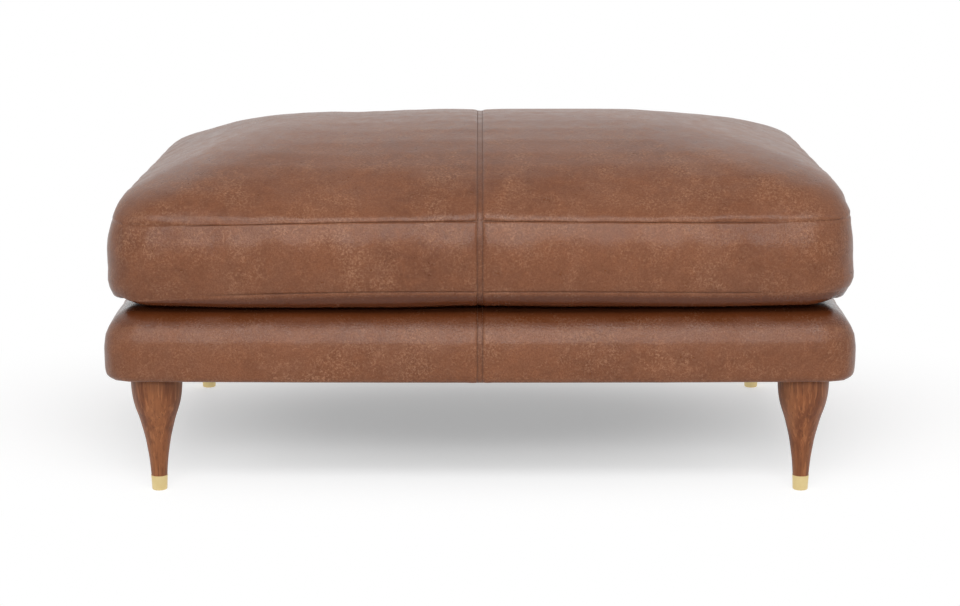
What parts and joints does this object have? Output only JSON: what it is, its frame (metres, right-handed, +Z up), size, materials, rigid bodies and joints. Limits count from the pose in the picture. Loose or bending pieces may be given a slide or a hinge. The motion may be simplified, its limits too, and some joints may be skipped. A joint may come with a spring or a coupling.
{
  "type": "leather ottoman",
  "caption": "Rectangular leather ottoman: padded base on turned legs with brass ferrules, loose crowned cushion with a centre seam on top.",
  "frame": {"origin": "on the floor, under the middle of the stool", "axes": "+X to the stool's right as seen from the front, +Y to the rear, +Z up; the front faces -Y"},
  "size_m": [0.974, 0.666, 0.4561],
  "materials": {
    "leather": "satin",
    "leg_wood": "satin",
    "brass": "satin",
    "frame_wood": "matte",
    "foam": "matte",
    "fibre": "matte",
    "dust_cloth": "matte",
    "tape": "matte",
    "zip_coil": "satin",
    "zip_metal": "satin",
    "steel": "satin"
  },
  "bodies": {
    "base": {"base_cover_left": "leather", "base_cover_right": "leather", "base_seam_tape": "tape", "base_wadding": "fibre", "block_screws": "steel", "centre_rail": "frame_wood", "clip_nails": "steel", "corner_block_front_left": "frame_wood", "corner_block_front_right": "frame_wood", "corner_block_rear_left": "frame_wood", "corner_block_rear_right": "frame_wood", "deck_foam": "foam", "dust_cover": "dust_cloth", "dust_cover_staples": "steel", "ferrule_front_left": "brass", "ferrule_front_right": "brass", "ferrule_rear_left": "brass", "ferrule_rear_right": "brass", "front_rail": "frame_wood", "hanger_bolts": "steel", "left_rail": "frame_wood", "leg_front_left": "leg_wood", "leg_front_right": "leg_wood", "leg_rear_left": "leg_wood", "leg_rear_right": "leg_wood", "rail_screws": "steel", "rear_rail": "frame_wood", "right_rail": "frame_wood", "spring_clips": "steel", "spring_felt": "fibre", "tee_nuts": "steel", "zigzag_springs": "steel"},
    "cushion": {"cushion_bottom_left": "leather", "cushion_bottom_right": "leather", "cushion_boxing_left": "leather", "cushion_boxing_right": "leather", "cushion_core": "foam", "cushion_seam_tape": "tape", "cushion_top_left": "leather", "cushion_top_right": "leather", "cushion_wrap": "fibre", "zip_strip_upper": "leather", "zip_strip_lower": "leather", "zip_tape_upper": "tape", "zip_tape_lower": "tape", "zip_chain": "zip_coil", "zip_stops": "zip_metal"},
    "slider": {"zip_slider": "zip_metal"},
    "pull": {"zip_pull": "zip_metal"}
  },
  "joints": [
    {"name": "cushion_lift", "type": "slide", "parent": "base", "child": "cushion", "axis": [0, 0, 1], "range_m": [0, 0.25]},
    {"name": "zip_run", "type": "slide", "parent": "cushion", "child": "slider", "axis": [-1, 0, 0], "range_m": [0, 0.6]},
    {"name": "zip_pull_swing", "type": "hinge", "parent": "slider", "child": "pull", "pos_m": [0.301, 0.3238, 0.3103], "axis": [0, 0, 1], "range_deg": [-170, 0]}
  ]
}
